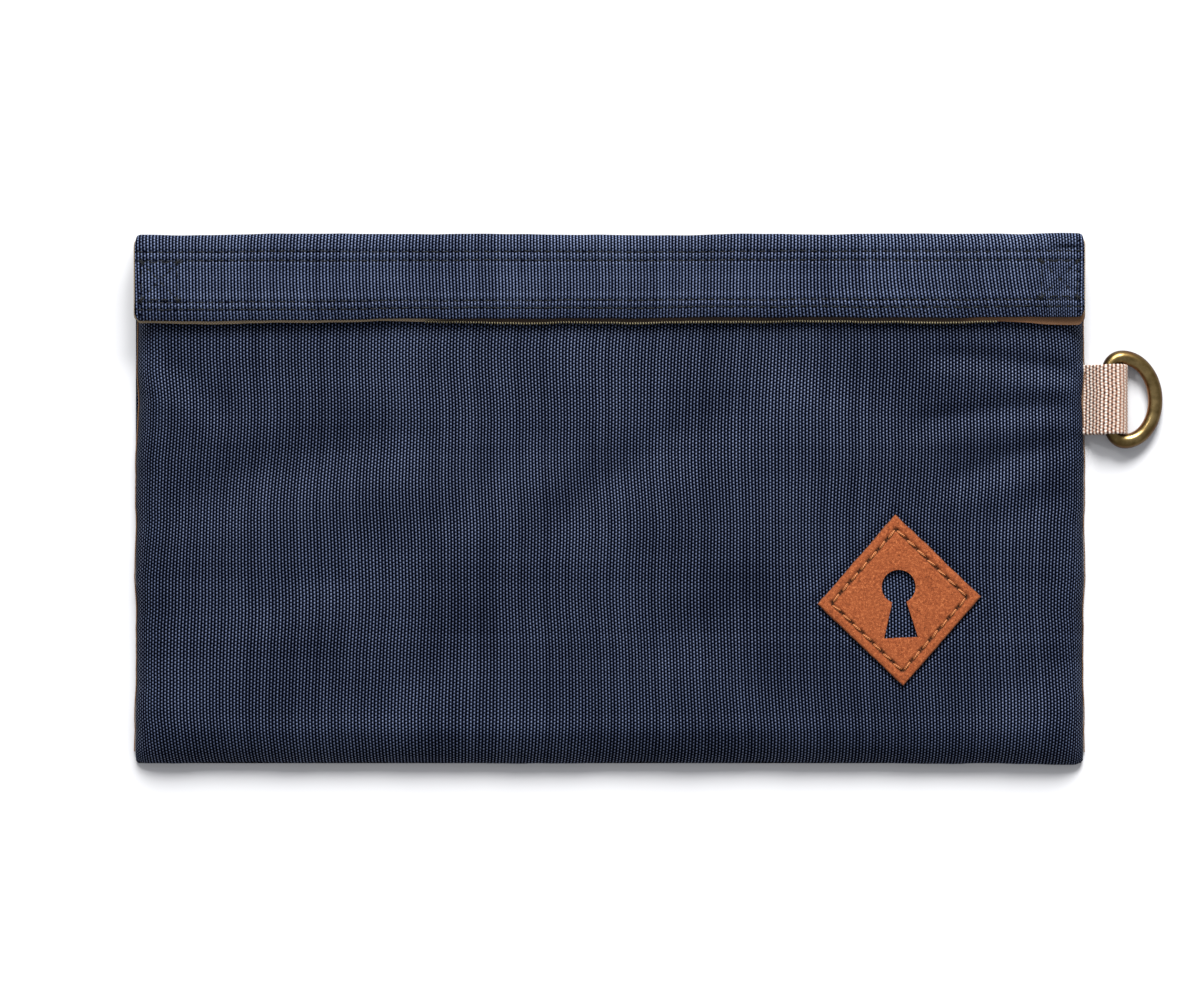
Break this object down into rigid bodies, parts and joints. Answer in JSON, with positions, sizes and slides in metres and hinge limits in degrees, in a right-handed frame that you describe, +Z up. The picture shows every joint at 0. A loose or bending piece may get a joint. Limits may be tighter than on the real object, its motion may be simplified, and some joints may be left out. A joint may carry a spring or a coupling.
{
  "type": "cash deposit bag",
  "caption": "Flat lined fabric pouch with a fold-over hook-and-loop flap, a webbing side tab holding a metal D-ring, and a stitched leather diamond patch.",
  "frame": {"origin": "middle of the back panel's outer face, on the surface that the bag lies on", "axes": "+X across the bag towards the tab and its ring, +Y from the bottom seam to the mouth and the top fold, +Z up out of the front panel"},
  "size_m": [0.3036, 0.156, 0.0136],
  "materials": {
    "navy_nylon": "coarse plain-weave nylon, dry, slight sheen on the raised yarns",
    "tan_lining": "coated lining cloth, low sheen",
    "tan_binding": "ribbed grosgrain tape",
    "hook_and_loop": "woven tape with a pile of hooks or loops",
    "tan_webbing": "thick ribbed webbing, matt with bright yarn crowns",
    "antique_brass": "antique plated, polished on the raised side",
    "suede": "napped suede leather with cut edges",
    "navy_thread": "bonded thread",
    "tan_thread": "waxed thread"
  },
  "bodies": {
    "bag": {"back_panel": "navy_nylon", "back_lining": "tan_lining", "left_seam_binding": "tan_binding", "left_seam_stitching": "navy_thread", "right_seam_binding": "tan_binding", "right_seam_stitching": "navy_thread", "bottom_seam_binding": "tan_binding", "bottom_seam_stitching": "navy_thread", "front_panel": "navy_nylon", "front_lining": "tan_lining", "mouth_hem": "tan_lining", "hem_stitching": "navy_thread", "loop_tape": "hook_and_loop", "loop_tape_upper_stitching": "navy_thread", "loop_tape_lower_stitching": "navy_thread", "webbing_anchor": "tan_webbing", "tab_bartack": "tan_thread", "leather_patch": "suede", "patch_stitching": "tan_thread"},
    "fold": {"fold_panel": "navy_nylon", "fold_lining": "tan_lining"},
    "flap": {"flap_panel": "navy_nylon", "flap_facing": "tan_lining", "hook_tape": "hook_and_loop", "flap_upper_outer_stitching": "navy_thread", "flap_upper_inner_stitching": "navy_thread", "flap_lower_inner_stitching": "navy_thread", "flap_lower_outer_stitching": "navy_thread", "left_end_box_stitching": "navy_thread", "right_end_box_stitching": "navy_thread"},
    "tab": {"webbing_loop": "tan_webbing"},
    "ring": {"d_ring": "antique_brass"}
  },
  "joints": [
    {"name": "fold_turn", "type": "hinge", "parent": "bag", "child": "fold", "pos_m": [0, 0.0772, 0.0008], "axis": [-1, 0, 0], "range_deg": [0, 90]},
    {"name": "flap_turn", "type": "hinge", "parent": "fold", "child": "flap", "pos_m": [0, 0.0772, 0.0126], "axis": [-1, 0, 0], "range_deg": [0, 90]},
    {"name": "tab_fold", "type": "hinge", "parent": "bag", "child": "tab", "pos_m": [0.1403, 0.0293, 0.0041], "axis": [0, -1, 0], "range_deg": [0, 45]},
    {"name": "ring_swing", "type": "hinge", "parent": "tab", "child": "ring", "pos_m": [0.1479, 0.0293, 0.0041], "axis": [0.0523, -0.9986, 0], "range_deg": [0, 120]}
  ],
  "couplings": [
    {"joint": "flap_turn", "follows": "fold_turn", "ratio": 1}
  ]
}
